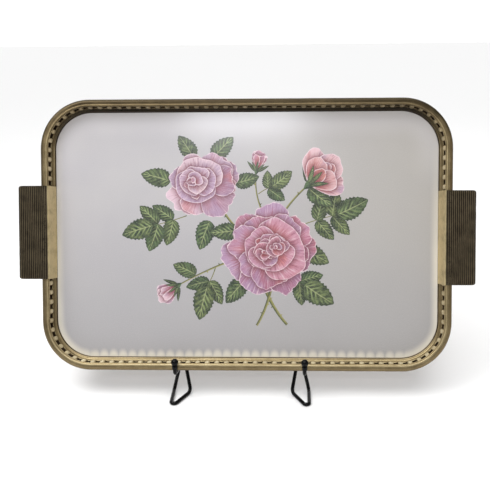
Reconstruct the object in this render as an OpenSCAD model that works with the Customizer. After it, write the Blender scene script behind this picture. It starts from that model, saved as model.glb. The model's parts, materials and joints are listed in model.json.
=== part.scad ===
// Gallery serving tray held upright by a folding wire easel.
//
// Tray frame, used inside tray_place(): X across, Y up the tray, Z out of its printed face,
// with the origin at the centre of the face. Row frame: X across, Y to the back, Z up.

/* [Tray] */
// Width over the rim, without the handles
tray_w = 450; // [420:5:480]
// Height over the rim
tray_h = 298; // [280:2:320]
// Radius of the rim's outer corners
tray_r = 54; // [48:1:60]
// Height of the rim above the printed face
rim_rise = 15.5; // [13:0.5:18]
// Thickness of the hardboard core
core_t = 3; // [2.5:0.5:4]
// Thickness of the printed laminate
laminate_t = 0.8; // [0.6:0.1:1]

/* [Gallery] */
// Distance from one pierced star to the next
star_pitch = 10.7; // [9.5:0.1:12]
// Half width of a star, along the rim
star_half_w = 3.2; // [2:0.1:3.4]
// Half height of a star
star_half_h = 4.4; // [3:0.1:4.5]

/* [Handles] */
// Length of a handle along the tray's side
handle_l = 102.5; // [80:0.5:120]
// How far a handle stands out past the rim
handle_out = 25; // [20:1:30]
// Distance from one rib to the next
rib_pitch = 2.1; // [1.8:0.1:3]
// How far above the middle the left handle sits
left_handle_rise = 3.5; // [0:0.5:6]
// How far below the middle the right handle sits
right_handle_drop = 2.5; // [0:0.5:6]

/* [Easel] */
// Angle by which the tray leans back from upright
lean = 18; // [14:1:22]
// Angle of the rear leg from upright
leg_lean = 17; // [15:1:18]
// Wire diameter
wire_d = 4; // [3.5:0.1:4.5]
// Distance between the two hooks
hook_gap = 142; // [130:1:150]
// Diameter of the ball tips
ball_d = 8; // [7:0.5:9]
// How far left of the tray's middle the easel stands
easel_shift = 6; // [0:0.5:12]
// Height of the tray's lowest edge above the table
tray_lift = 30; // [28:1:36]
// Height of the hinge on the tray's back, above the tray's middle
hinge_v = 70; // [50:2:80]

/* [Hidden] */

$fn = 48;
gap = 0.3;              // play between pieces that move or only touch
weld = 0.1;             // bite of one welded piece into the next
press = 0.02;           // play of a pin, rivet or wire end in its own hole

// Rim section, as insets from the rim's outer outline
rim_t = 0.8;            // moulding sheet
gallery_t = 0.6;        // pierced strip
hem_in = 9;             // reach of the hem under the board
board_in = 1.6;         // edge of the core board
crest_in = 7.1;         // inner edge of the top flange
wall_in = 8.7;          // foot of the gallery wall
lip_in = 11.9;          // inner edge of the gallery's lip
face_in = 12.3;         // edge of the printed laminate
core_top = -laminate_t;
core_bottom = core_top - core_t;
hem_z = core_bottom - rim_t / 2;
tray_bottom = core_bottom - rim_t;
star_mid = 8;           // height of the stars' centres above the face
star_wall_in = 8.2;     // inset of the gallery wall at that height
crest_fall = 0.5;       // how far the top flange falls to its outer edge
crest_lip = 2.4;        // the flange's inner edge, turned down over the gallery
gallery_top_in = crest_in + 0.75;

// Colours
gold = "#a08c5c";
pale_gold = "#bda878";
bronze = "#6b5d42";
cream = "#d9d5d0";
board_brown = "#6e5136";
black = "#15151a";

// Easel, in the tray frame unless said otherwise
wire_r = wire_d / 2;
rod_z = tray_bottom - gap - wire_r;               // front rods, behind the tray
seat_y = -tray_h / 2 - gap - wire_r;              // seat wires, under the tray
hook_z = rim_rise + gap + ball_d / 2;             // hooks, in front of the rim
ball_y = -tray_h / 2 + 10.5;
sleeve_l = 7.8;         // from the ball's centre
sleeve_r = wire_r + 1;
brace_y = -60;
brace_z = rod_z - wire_d + weld;
barrel_r = 4.4;
barrel_l = 40;
pin_r = 1.5;
pin_play = 0.05;
pin_end = 2;
hinge_z = rod_z - wire_r - barrel_r + weld / 2;
lug_t = 2;
lug_r = 3.9;
lug_x = barrel_l / 2 + gap;
arm_x = lug_x + lug_t + wire_r - weld;
cap_x = lug_x + lug_t + gap;

// Where the tray's origin stands in the row frame
tray_z = tray_lift + tray_h / 2 * cos(lean) - tray_bottom * sin(lean);

// A point of the tray frame, as easel_place() takes it
function on_tray(p) = [p.x, p.y * sin(lean) - p.z * cos(lean), tray_z + p.y * cos(lean) + p.z * sin(lean)];

hinge = on_tray([0, hinge_v, hinge_z]);
leg_l = (hinge.z - wire_r) / cos(leg_lean);
foot_back = hinge.y + leg_l * sin(leg_lean) + wire_r;
foot_front = -74;                                 // front of the foot loops, from the tray's origin
row_y = -(foot_back + foot_front) / 2;            // puts the row's origin midway between them

module tray_place() translate([0, row_y, tray_z]) rotate([90 - lean, 0, 0]) children();
module easel_place() translate([-easel_shift, row_y, 0]) children();

// ---- Paths and sheet sections ----

function unit(v) = v / norm(v);

// Corner points with a bend radius each become one line with round bends
function bend(a, b, c, r, steps) =
    let (u = unit(a - b), w = unit(c - b), half = acos(u * w) / 2, back = r / tan(half),
         centre = b + unit(u + w) * r / sin(half), start = b + u * back - centre, end = b + w * back - centre,
         sweep = 180 - 2 * half)
    [for (i = [0 : steps]) let (t = i / steps)
        centre + (start * sin((1 - t) * sweep) + end * sin(t * sweep)) / sin(sweep)];
function rounded(points, radii, steps = 6) = [
    points[0],
    for (i = [1 : len(points) - 2])
        each (radii[i] > 0 ? bend(points[i - 1], points[i], points[i + 1], radii[i], steps) : [points[i]]),
    points[len(points) - 1]
];

// A sheet of even thickness along a line, as a closed outline
function side_of(a, b) = let (d = unit(b - a)) [-d.y, d.x];
function mitre(line, i) =
    i == 0 ? side_of(line[0], line[1]) :
    i == len(line) - 1 ? side_of(line[i - 1], line[i]) :
    let (m = side_of(line[i - 1], line[i]), n = side_of(line[i], line[i + 1])) (m + n) / (1 + m * n);
function sheet(line, t) = concat(
    [for (i = [0 : len(line) - 1]) line[i] + mitre(line, i) * t / 2],
    [for (i = [len(line) - 1 : -1 : 0]) line[i] - mitre(line, i) * t / 2]);

// Round wire along a line, its rings turned with the line so that they don't twist
function carry(n, d) = unit(n - d * (n * d));
function tangent(line, i) = unit(line[min(i + 1, len(line) - 1)] - line[max(i - 1, 0)]);
function frames(line, i = 0, n = undef) =
    i == len(line) ? [] :
    let (d = tangent(line, i), m = carry(is_undef(n) ? [0.31, 0.17, 0.93] : n, d))
    concat([[m, cross(d, m)]], frames(line, i + 1, m));
module wire(line, r, sides = 14) {
    turns = frames(line);
    count = len(line);
    points = [for (i = [0 : count - 1], k = [0 : sides - 1]) let (a = 360 * k / sides)
        line[i] + (turns[i][0] * cos(a) + turns[i][1] * sin(a)) * r];
    walls = [for (i = [0 : count - 2], k = [0 : sides - 1]) let (n = (k + 1) % sides)
        [i * sides + k, (i + 1) * sides + k, (i + 1) * sides + n, i * sides + n]];
    first = [for (k = [0 : sides - 1]) k];
    last = [for (k = [sides - 1 : -1 : 0]) (count - 1) * sides + k];
    polyhedron(points, concat(walls, [first, last]));
}

// ---- Tray ----

module rounded_plate(inset, bottom, top) {
    translate([0, 0, bottom]) linear_extrude(top - bottom) {
        square([tray_w - 2 * tray_r, tray_h - 2 * inset], center = true);
        square([tray_w - 2 * inset, tray_h - 2 * tray_r], center = true);
        for (x = [-1, 1], y = [-1, 1])
            translate([x * (tray_w / 2 - tray_r), y * (tray_h / 2 - tray_r)]) circle(tray_r - inset, $fn = 96);
    }
}

// Upper half of the rim. The child is its section: X is the distance inward, negated, Y the height.
module half_rim() {
    straight = tray_w - 2 * tray_r;
    side = tray_h / 2 - tray_r;
    translate([-straight / 2, tray_h / 2, 0]) rotate([90, 0, 90]) linear_extrude(straight) children();
    for (m = [0, 1]) mirror([m, 0, 0]) {
        translate([straight / 2, side, 0])
            rotate_extrude(angle = 90, $fn = 96) translate([tray_r, 0]) children();
        translate([tray_w / 2, 0, 0]) mirror([0, 1, 0]) rotate([90, 0, 0]) linear_extrude(side) children();
    }
}

module rim_section() {
    crest = rim_rise - rim_t / 2;
    skirt = -rim_t / 2;
    line = rounded(
        [[-hem_in, hem_z], [skirt, hem_z], [skirt, crest - crest_fall],
         [-crest_in, crest], [-crest_in, crest - crest_lip]],
        [0, 0.6, 1.6, 0.9, 0], 3);
    polygon(sheet(line, rim_t));
}

module gallery_section() {
    foot = core_top + gallery_t / 2;
    line = rounded(
        [[-gallery_top_in, rim_rise - 2], [-wall_in, foot + 1.6],
         [-wall_in - 1.4, foot + 0.7], [-lip_in, foot]],
        [0, 0.8, 0.8, 0], 3);
    polygon(sheet(line, gallery_t));
}

// A star with its four points on the diagonals and four hollow sides
module star() {
    hollow = [0.5, 0.5];
    tips = [for (q = [[1, 1], [-1, 1], [-1, -1], [1, -1]]) [q.x * star_half_w, q.y * star_half_h]];
    polygon([for (i = [0 : 3], t = [0 : 0.25 : 0.75])
        let (a = tips[i], b = tips[(i + 1) % 4], waist = (a + b) / 2 * hollow[i % 2])
        a * (1 - t) * (1 - t) + waist * 2 * t * (1 - t) + b * t * t]);
}

module star_cut() translate([0, 0, -2.5]) linear_extrude(5) star();

module star_cuts() {
    straight = tray_w - 2 * tray_r;
    side = tray_h / 2 - tray_r;
    across = round(straight / star_pitch);
    up = round(side / star_pitch);
    round_corner = round((tray_r - star_wall_in) * PI / 2 / star_pitch);
    for (i = [0 : across - 1])
        translate([straight * ((i + 0.5) / across - 0.5), tray_h / 2 - star_wall_in, star_mid])
            rotate([90, 0, 0]) star_cut();
    for (m = [0, 1]) mirror([m, 0, 0]) {
        for (i = [0 : round_corner - 1])
            translate([straight / 2, side, star_mid]) rotate([0, 0, 90 * (i + 0.5) / round_corner - 90])
                translate([0, tray_r - star_wall_in, 0]) rotate([90, 0, 0]) star_cut();
        for (i = [0 : up - 1])
            translate([tray_w / 2 - star_wall_in, side * (i + 0.5) / up, star_mid])
                rotate([90, 0, -90]) star_cut();
    }
}

module face_laminate() color(cream) rounded_plate(face_in, core_top, 0);
module core_board() color(board_brown) difference() {
    rounded_plate(board_in, core_bottom, core_top);
    left_side() rivet_holes();
    right_side() rivet_holes();
}
module upper_rim() color(gold) half_rim() rim_section();
module lower_rim() mirror([0, 1, 0]) upper_rim();
module upper_gallery() color(pale_gold) difference() {
    half_rim() gallery_section();
    star_cuts();
}
module lower_gallery() mirror([0, 1, 0]) upper_gallery();

// ---- Handles ----

handle_t = 1;
handle_top = rim_rise + gap + handle_t / 2;
handle_edge = handle_out - handle_t / 2;
handle_under = handle_top - 7;
handle_foot_in = 11.7;   // middle of the sheet's edge, clear of the printed face
handle_bend_in = 8.6;
handle_fall = 0.6;
rib_r = 0.62;
plinth_z = tray_bottom - handle_t / 2;
plinth_in = 20;
rivet_in = 15;
rivet_r = 1.6;
rivet_span = handle_l - 30;
rivet_head = 1.1;
rivet_top = core_bottom + 2;

// Half-round ribs along the line from a to b
function ribs(a, b) =
    let (d = unit(b - a), up = side_of(a, b), count = floor(norm(b - a) / rib_pitch), steps = 6)
    [for (i = [0 : count - 1], k = [0 : steps]) let (t = 180 * k / steps)
        a + d * (rib_pitch * (i + 0.5) - rib_r * cos(t)) + up * rib_r * sin(t)];

// The sheet starts on the gallery's lip, crosses the rim, rolls back under itself and ends under the board
module handle_section() {
    skirt_x = gap + handle_t / 2;
    bend_steps = 4;
    line = rounded(
        [[-handle_foot_in, gap], [-handle_bend_in, handle_top], [handle_edge, handle_top - handle_fall],
         [handle_edge, handle_under], [skirt_x, handle_under], [skirt_x, plinth_z], [-plinth_in, plinth_z]],
        [0, 1.8, 2.2, 2.2, 1.4, 1, 0], bend_steps);
    outline = sheet(line, handle_t);
    first_bend = 1 + bend_steps;
    polygon(concat(
        [for (i = [0 : first_bend]) outline[i]],
        ribs(outline[first_bend], outline[first_bend + 1]),
        [for (i = [first_bend + 1 : len(outline) - 1]) outline[i]]));
}

module handle_rivet_axes() for (y = [-1, 1])
    translate([tray_w / 2 - rivet_in, y * rivet_span / 2, 0]) children();

module handle() color(bronze) difference() {
    translate([tray_w / 2, handle_l / 2, 0]) rotate([90, 0, 0]) linear_extrude(handle_l) handle_section();
    rivet_holes();
}

module rivet_holes() handle_rivet_axes() translate([0, 0, tray_bottom - 2])
    cylinder(r = rivet_r + press, h = rivet_top + press - tray_bottom + 2);

module handle_rivets() color(gold) handle_rivet_axes() {
    translate([0, 0, tray_bottom - handle_t]) cylinder(r = rivet_r, h = rivet_top - tray_bottom + handle_t);
    translate([0, 0, tray_bottom - handle_t - rivet_head]) cylinder(r1 = 1.4, r2 = 3.2, h = rivet_head);
}

module left_side() translate([0, left_handle_rise, 0]) mirror([1, 0, 0]) children();
module right_side() translate([0, -right_handle_drop, 0]) children();

// ---- Easel ----

// Distances from the easel's middle
foot_inner = 57.5;      // front rod where it reaches the table
foot_tip = [71, 76.2];  // both sides of the foot loop's tip
foot_outer = 77;
rod_bow = 76;
hook_x = hook_gap / 2;

rod_foot_v = (wire_r - tray_z - rod_z * sin(lean)) / cos(lean);
seat_back = rod_z - 3.5;

// From the middle of the top bar down behind the tray, round the foot, and up to the hook in front
rod_points = [
    on_tray([0, hinge_v, rod_z]), on_tray([38, hinge_v, rod_z]),
    on_tray([rod_bow, 0, rod_z]), on_tray([rod_bow, -75, rod_z]),
    [foot_inner, on_tray([0, rod_foot_v, rod_z]).y, wire_r],
    [foot_tip[0], foot_front + wire_r, wire_r], [foot_tip[1], foot_front + wire_r, wire_r],
    [foot_outer, on_tray([0, seat_y, seat_back]).y - 5, wire_r],
    on_tray([hook_x, seat_y, seat_back]), on_tray([hook_x, seat_y, hook_z]), on_tray([hook_x, ball_y, hook_z])
];
rod_radii = [0, 16, 60, 40, 6, 3.2, 3.2, 9, 7, 5, 0];

module front_rod() color(black) wire(rounded(rod_points, rod_radii), wire_r);

// A ball with a sleeve below it, over the straight end of the hook
module ball_tip() color(black) translate(on_tray([hook_x, ball_y, hook_z])) rotate([-lean, 0, 0]) difference() {
    union() {
        sphere(d = ball_d);
        translate([0, 0, -sleeve_l]) cylinder(r = sleeve_r, h = sleeve_l);
    }
    translate([0, 0, -2 * sleeve_l]) cylinder(r = wire_r + press, h = 2 * sleeve_l + press);
}

module cross_brace() color(black) translate([-easel_shift, 0, 0]) {
    half = rod_bow + 1;
    translate([-half, brace_y, brace_z]) rotate([0, 90, 0]) cylinder(r = wire_r, h = 2 * half);
}

module hinge_place() translate([-easel_shift, hinge_v, hinge_z]) children();
module along_x(from, to, r) translate([from, 0, 0]) rotate([0, 90, 0]) cylinder(r = r, h = to - from);

module hinge_barrel() color(black) difference() {
    along_x(-barrel_l / 2, barrel_l / 2, barrel_r);
    along_x(-barrel_l, barrel_l, pin_r + press);
}
module hinge_pin() color(black) along_x(press - cap_x - pin_end, cap_x + pin_end - press, pin_r);
module pin_cap() color(black) difference() {
    along_x(cap_x, cap_x + pin_end + 0.6, 3);
    along_x(cap_x - 1, cap_x + pin_end, pin_r + press);
}

// A lug turns on the pin. Its nose lies over the top bar and stops the leg at its open angle.
module lug() color(black) {
    nose_z = wire_r + gap + 0.1;
    nose = [[0, -lug_r], [4, -lug_r], [5.6, 5.4], [3.6, 7.2], [nose_z, 7.2], [nose_z, 4.6], [0, 3]];
    difference() {
        union() {
            along_x(lug_x, lug_x + lug_t, lug_r);
            translate([lug_x, 0, 0]) rotate([90, 0, 90]) linear_extrude(lug_t) polygon(nose);
        }
        along_x(lug_x - 1, lug_x + lug_t + 1, pin_r + pin_play);
    }
}

module rear_leg() color(black) {
    foot_half = 42;
    down = [0, sin(leg_lean), -cos(leg_lean)];
    points = [[arm_x, 0, 0] + down * 6, [arm_x, 0, 0] + down * 40, [foot_half, 0, 0] + down * leg_l,
        [-foot_half, 0, 0] + down * leg_l, [-arm_x, 0, 0] + down * 40, [-arm_x, 0, 0] + down * 6];
    translate([0, hinge.y, hinge.z]) wire(rounded(points, [0, 40, 12, 12, 40, 0]), wire_r);
}

tray_place() face_laminate();
tray_place() core_board();
tray_place() upper_rim();
tray_place() lower_rim();
tray_place() upper_gallery();
tray_place() lower_gallery();
tray_place() left_side() handle();  // left_handle
tray_place() right_side() handle();  // right_handle
tray_place() left_side() handle_rivets();  // left_handle_rivets
tray_place() right_side() handle_rivets();  // right_handle_rivets
easel_place() mirror([1, 0, 0]) front_rod();  // left_front_rod
easel_place() front_rod();  // right_front_rod
easel_place() mirror([1, 0, 0]) ball_tip();  // left_ball_tip
easel_place() ball_tip();  // right_ball_tip
tray_place() cross_brace();
tray_place() hinge_place() hinge_barrel();
tray_place() hinge_place() hinge_pin();
tray_place() hinge_place() mirror([1, 0, 0]) pin_cap();  // left_pin_cap
tray_place() hinge_place() pin_cap();  // right_pin_cap
easel_place() rear_leg();
tray_place() hinge_place() mirror([1, 0, 0]) lug();  // left_lug
tray_place() hinge_place() lug();  // right_lug
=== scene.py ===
"""Looks of the gallery tray and its folding wire easel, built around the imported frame."""
import json
import random
from math import atan2, cos, exp, floor, pi, radians, sin, sqrt, tan

import bmesh
import bpy
import numpy as np
from mathutils import Matrix, Vector, noise
from mathutils.geometry import delaunay_2d_cdt


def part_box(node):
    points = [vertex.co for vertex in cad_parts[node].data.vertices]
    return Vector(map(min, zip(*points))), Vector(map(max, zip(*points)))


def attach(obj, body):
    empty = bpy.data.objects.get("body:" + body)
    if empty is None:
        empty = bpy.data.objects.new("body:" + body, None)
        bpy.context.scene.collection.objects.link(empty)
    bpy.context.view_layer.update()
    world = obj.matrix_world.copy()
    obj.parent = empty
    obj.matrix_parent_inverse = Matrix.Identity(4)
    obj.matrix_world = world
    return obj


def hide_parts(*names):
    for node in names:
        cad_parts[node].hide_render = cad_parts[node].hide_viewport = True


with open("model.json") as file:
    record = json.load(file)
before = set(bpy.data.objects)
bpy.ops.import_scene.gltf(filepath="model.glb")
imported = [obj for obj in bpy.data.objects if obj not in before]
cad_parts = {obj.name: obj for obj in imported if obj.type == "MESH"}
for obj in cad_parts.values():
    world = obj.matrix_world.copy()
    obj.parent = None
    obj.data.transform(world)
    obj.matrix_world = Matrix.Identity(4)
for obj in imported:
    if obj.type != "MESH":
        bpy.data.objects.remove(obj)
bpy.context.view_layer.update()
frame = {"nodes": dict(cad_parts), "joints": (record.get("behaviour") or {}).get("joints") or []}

MM = 0.001
JOINTS = {joint["name"]: joint for joint in frame["joints"]}


# ---- The tray's own frame: x across, v up the tray, n out of its printed face, in millimetres ----

ACROSS = Vector((1, 0, 0))
UP = Vector(JOINTS["tray_lift"]["axis"]).normalized()
OUT = ACROSS.cross(UP)


def tray_box(node, origin=Vector()):
    """The lowest and highest x, v and n of a CAD node, in millimetres from origin."""
    points = [vertex.co - origin for vertex in frame["nodes"][node].data.vertices]
    spans = [[point.dot(axis) / MM for point in points] for axis in (ACROSS, UP, OUT)]
    return Vector([min(span) for span in spans]), Vector([max(span) for span in spans])


def face_origin():
    """The centre of the printed face, in metres."""
    low, high = tray_box("face_laminate")
    return MM * (ACROSS * (low.x + high.x) / 2 + UP * (low.y + high.y) / 2 + OUT * high.z)


ORIGIN = face_origin()
TRAY = Matrix.Translation(ORIGIN) @ Matrix((ACROSS, UP, OUT)).transposed().to_4x4() @ Matrix.Scale(MM, 4)

rim_low, rim_high = tray_box("upper_rim", ORIGIN)
face_low, face_high = tray_box("face_laminate", ORIGIN)

HALF_W, HALF_H, RISE = rim_high
UNDER = rim_low.z
FACE_IN = HALF_W - face_high.x   # how far the printed face lies inside the rim's outline
CORNER_R = 54.0                  # of the rim's outline
PLAY = 0.3                       # the gap between pieces that move or only touch


# ---- Vectors and paths ----

def mix(a, b, t):
    return a + (b - a) * t


def smooth(edge_a, edge_b, x):
    t = min(max((x - edge_a) / (edge_b - edge_a), 0.0), 1.0)
    return t * t * (3 - 2 * t)


def unit(turn):
    """The direction at a turn in degrees, counter-clockwise from x."""
    return Vector((cos(radians(turn)), sin(radians(turn))))


def arc(across, up, turns, lift=0.0):
    """Points of an ellipse about the origin at the given turns, in degrees."""
    return [(across * cos(radians(a)), up * sin(radians(a)) + lift) for a in turns]


def rounded(points, radii, steps):
    """A line through points, with each inner corner turned into an arc of its radius."""
    line = [Vector(points[0])]
    for a, b, c, radius in zip(points, points[1:], points[2:], radii):
        a, b, c = Vector(a), Vector(b), Vector(c)
        back, ahead = (a - b).normalized(), (c - b).normalized()
        half = back.angle(ahead) / 2
        if radius == 0 or half > radians(89.5):
            line.append(b)
            continue
        centre = b + (back + ahead).normalized() * radius / sin(half)
        start = b + back * radius / tan(half) - centre
        end = b + ahead * radius / tan(half) - centre
        sweep = pi - 2 * half
        for t in (i / steps for i in range(steps + 1)):
            spoke = start * sin((1 - t) * sweep) + end * sin(t * sweep)
            line.append(centre + spoke / sin(sweep))
    line.append(Vector(points[-1]))
    return line


def lengths(line):
    """How far along the line each of its points is."""
    total = [0.0]
    for a, b in zip(line, line[1:]):
        total.append(total[-1] + (b - a).length)
    return total


def sheet(line, thickness):
    """The two sides of a sheet of even thickness along a line in the plane."""
    last = len(line) - 1
    sides = []
    for i in range(len(line)):
        ahead = (line[min(i + 1, last)] - line[min(i, last - 1)]).normalized().orthogonal()
        behind = (line[max(i, 1)] - line[max(i - 1, 0)]).normalized().orthogonal()
        normal = (ahead + behind).normalized()
        sides.append(normal / max(normal.dot(ahead), 0.5) * thickness / 2)
    return tuple([point + side * way for point, side in zip(line, sides)] for way in (1, -1))


# ---- Meshes ----

def add_object(name, data):
    """A new object in the scene."""
    made = bpy.data.objects.new(name, data)
    bpy.context.scene.collection.objects.link(made)
    return made


def make_piece(name, bm, body, material, replaces=(), matrix=None, angle=40):
    """Turns a bmesh into a piece that rides on a body and stands for the CAD nodes it replaces."""
    bmesh.ops.remove_doubles(bm, verts=bm.verts, dist=1e-4)
    bmesh.ops.recalc_face_normals(bm, faces=bm.faces)
    if matrix is not None:
        bm.transform(matrix)
    for face in bm.faces:
        face.smooth = True
    for edge in bm.edges:
        edge.smooth = len(edge.link_faces) == 2 and edge.calc_face_angle(0) < radians(angle)
    mesh = bpy.data.meshes.new(name)
    bm.to_mesh(mesh)
    bm.free()
    piece = add_object(name, mesh)
    mesh.materials.append(material)
    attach(piece, body)
    if replaces:
        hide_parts(*replaces)
    return piece


def grid(bm, rows, coords, tones=None, close_across=False, close_along=False):
    """Faces between rows of points. coords gives each point's place on the sheet, for the flow map."""
    flow = bm.loops.layers.uv["flow"]
    tone = bm.verts.layers.float["tone"]
    verts = [[bm.verts.new(point) for point in row] for row in rows]
    for row, values in zip(verts, tones or []):
        for vert, value in zip(row, values):
            vert[tone] = value
    across = len(rows[0])
    for i in range(len(rows) if close_along else len(rows) - 1):
        for k in range(across if close_across else across - 1):
            i2, k2 = (i + 1) % len(rows), (k + 1) % across
            face = bm.faces.new((verts[i][k], verts[i2][k], verts[i2][k2], verts[i][k2]))
            ends = ((i, k), (i + 1, k), (i + 1, k + 1), (i, k + 1))
            for loop, (a, b) in zip(face.loops, ends):
                loop[flow].uv = coords(a, b)
    return verts


def cap(bm, verts):
    """A flat end across a ring of vertices."""
    flow = bm.loops.layers.uv["flow"]
    face = bm.faces.new(verts)
    for loop in face.loops:
        loop[flow].uv = (loop.vert.co.x, loop.vert.co.y)


def loft(bm, rings, coords, tones=None):
    """A closed solid through rings of points, with flat ends."""
    verts = grid(bm, rings, coords, tones, close_across=True)
    cap(bm, verts[0])
    cap(bm, verts[-1])
    return verts


def tube(bm, line, radius, sides=20):
    """A round wire along a line, its rings turned with the line, with slightly rounded cut ends."""
    along = lengths(line)
    side = Vector((0.31, 0.17, 0.93))
    turns = [2 * pi * k / sides for k in range(sides)]
    rows = []
    for i, point in enumerate(line):
        tangent = (line[min(i + 1, len(line) - 1)] - line[max(i - 1, 0)]).normalized()
        side = (side - tangent * side.dot(tangent)).normalized()
        other = tangent.cross(side)
        rows.append([point + (side * cos(a) + other * sin(a)) * radius for a in turns])
    lips = [[mix(line[end], corner, 0.8) for corner in rows[end]] for end in (0, -1)]
    for end, next_in in ((0, 1), (-1, -2)):
        back = (line[next_in] - line[end]).normalized() * 0.2 * radius
        rows[end] = [corner + back for corner in rows[end]]
    rows = [lips[0]] + rows + [lips[1]]
    along = [along[0]] + along + [along[-1]]
    girth = 2 * pi * radius
    loft(bm, rows, lambda i, k: (along[i] * MM, k / sides * girth * MM))


def lathe(bm, profile, matrix, sides=48, ring=False):
    """A turned solid. profile is a list of (radius, height) from end to end, or a closed loop for a ring."""
    turns = [2 * pi * k / sides for k in range(sides)]
    rows = [[matrix @ Vector((r * cos(a), r * sin(a), z)) for a in turns] for r, z in profile if r > 0]
    verts = grid(bm, rows, lambda i, k: (k / sides * 0.02, i * MM), close_across=True, close_along=ring)
    for end in () if ring else (0, -1):
        row = verts[end]
        if profile[end][0] > 0:
            cap(bm, row)
            continue
        tip = bm.verts.new(matrix @ Vector((0, 0, profile[end][1])))
        for k in range(sides):
            bm.faces.new((row[k], row[(k + 1) % sides], tip))


def new_bmesh():
    """An empty bmesh with the flow map and the tone that the metals read."""
    bm = bmesh.new()
    bm.loops.layers.uv.new("flow")
    bm.verts.layers.float.new("tone")
    return bm


# ---- Materials ----

class Nodes:
    """Shorthand for building the nodes of a material or of the world."""

    def __init__(self, owner, shader):
        owner.use_nodes = True
        self.tree = owner.node_tree
        self.shader = next(n for n in self.tree.nodes if n.type == shader)

    def set(self, **sockets):
        for name, value in sockets.items():
            self.plug(self.shader.inputs[name.replace("_", " ")], value)

    def plug(self, socket, value):
        if isinstance(value, bpy.types.NodeSocket):
            self.tree.links.new(value, socket)
        elif value is not None:
            socket.default_value = value

    def node(self, kind, *values, out=0, **settings):
        made = self.tree.nodes.new("ShaderNode" + kind)
        for name, value in settings.items():
            setattr(made, name, value)
        for socket, value in zip(made.inputs, values):
            self.plug(socket, value)
        return made.outputs[out]

    def math(self, operation, a, b=None, c=None):
        return self.node("Math", a, b, c, operation=operation)

    def times(self, a, b):
        return self.math("MULTIPLY", a, b)

    def size(self, value):
        return self.math("ABSOLUTE", value)

    def swayed(self, value, wave, amount):
        """A value moved up and down by a wave that runs about a half."""
        return self.math("MULTIPLY_ADD", self.math("SUBTRACT", wave, 0.5), amount, value)

    def remap(self, value, low, high, to_low=0.0, to_high=1.0):
        return self.node("MapRange", value, low, high, to_low, to_high, interpolation_type="SMOOTHSTEP")

    def blend(self, factor, a, b, mode="MIX"):
        made = self.tree.nodes.new("ShaderNodeMix")
        made.data_type = "RGBA"
        made.blend_type = mode
        for name, value in (("Factor_Float", factor), ("A_Color", a), ("B_Color", b)):
            if isinstance(value, tuple):
                value = (*value, 1)
            self.plug(next(s for s in made.inputs if s.identifier == name), value)
        return next(s for s in made.outputs if s.identifier == "Result_Color")

    def coats(self, colour, *coats):
        """A colour with further ones laid over it in turn, each as (how much of it, the colour)."""
        for factor, coat in coats:
            colour = self.blend(factor, colour, coat)
        return colour

    def ramp(self, factor, stops):
        made = self.tree.nodes.new("ShaderNodeValToRGB")
        elements = made.color_ramp.elements
        while len(elements) < len(stops):
            elements.new(0.5)
        for element, (place, colour) in zip(elements, stops):
            element.position = place
            element.color = (*colour, 1)
        self.plug(made.inputs[0], factor)
        return made.outputs[0]

    def split(self, vector, axes=(0, 1)):
        return [self.node("SeparateXYZ", vector, out=axis) for axis in axes]


class Paint(Nodes):
    """Shorthand for building one material's nodes."""

    def __init__(self, name, **sockets):
        self.material = bpy.data.materials.new(name)
        super().__init__(self.material, "BSDF_PRINCIPLED")
        self.set(**sockets)

    def scaled(self, vector, x, y, z=1.0):
        return self.node("Mapping", vector, (0, 0, 0), (0, 0, 0), (x, y, z))

    def noise(self, vector, scale, detail=3.0, rough=0.55, warp=0.0):
        made = self.tree.nodes.new("ShaderNodeTexNoise")
        for name, value in zip(("Vector", "Scale", "Detail", "Roughness", "Distortion"),
                               (vector, scale, detail, rough, warp)):
            self.plug(made.inputs[name], value)
        return made.outputs[0]

    def object_place(self):
        return self.node("TexCoord", out=3)

    def flow(self):
        """The place on the sheet, in metres along and across it."""
        return self.node("UVMap", uv_map="flow")

    def attribute(self, name, out=2):
        return self.node("Attribute", attribute_name=name, out=out)

    def bump(self, height, distance, strength=1.0):
        made = self.tree.nodes.new("ShaderNodeBump")
        made.inputs["Strength"].default_value = strength
        made.inputs["Distance"].default_value = distance
        self.plug(made.inputs["Height"], height)
        self.plug(self.shader.inputs["Normal"], made.outputs[0])


# Each metal from the patina in its hollows to its rubbed high places, with painted shade and painted
# highlights on the rim's gilt, and the board from dark to light
GILT = [(0.0, (0.012, 0.008, 0.004)), (0.3, (0.075, 0.054, 0.026)), (0.55, (0.23, 0.172, 0.088)),
        (0.8, (0.52, 0.42, 0.235)), (1.0, (0.86, 0.77, 0.54))]
BOARD_BROWN = [(0.25, (0.085, 0.047, 0.026)), (0.5, (0.185, 0.108, 0.060)), (0.75, (0.30, 0.195, 0.115))]
DARK_BRONZE = [(0.0, (0.020, 0.015, 0.010)), (0.35, (0.085, 0.066, 0.042)), (0.65, (0.21, 0.17, 0.105)),
               (0.85, (0.43, 0.345, 0.185)), (1.0, (0.70, 0.575, 0.33))]


def gilt(name, brushed=1.0, lift=0.0, roughness=0.36, metallic=0.8):
    """Antique gilt metal: the tone attribute says how rubbed a place is and also carries painted highlights
    and painted shade, brushed lines run along the flow.
    """
    paint = Paint(name, Metallic=metallic)
    place = paint.object_place()
    lines = paint.noise(paint.scaled(paint.flow(), 60, 5200), 1.0, 2.0)
    patches = paint.noise(place, 55.0, 5.0, 0.65)
    grain = paint.noise(place, 1500.0, 2.0)
    tone = paint.math("ADD", paint.attribute("tone"), lift)
    for wave, amount in ((lines, 0.30 * brushed), (patches, 0.34), (grain, 0.22)):
        tone = paint.swayed(tone, wave, amount)
    paint.set(Base_Color=paint.ramp(tone, GILT), Roughness=paint.swayed(roughness, patches, 0.3))
    paint.bump(paint.math("MULTIPLY_ADD", lines, 0.7 * brushed, paint.times(grain, 0.5)), 0.00006, 0.55)
    return paint.material


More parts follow.
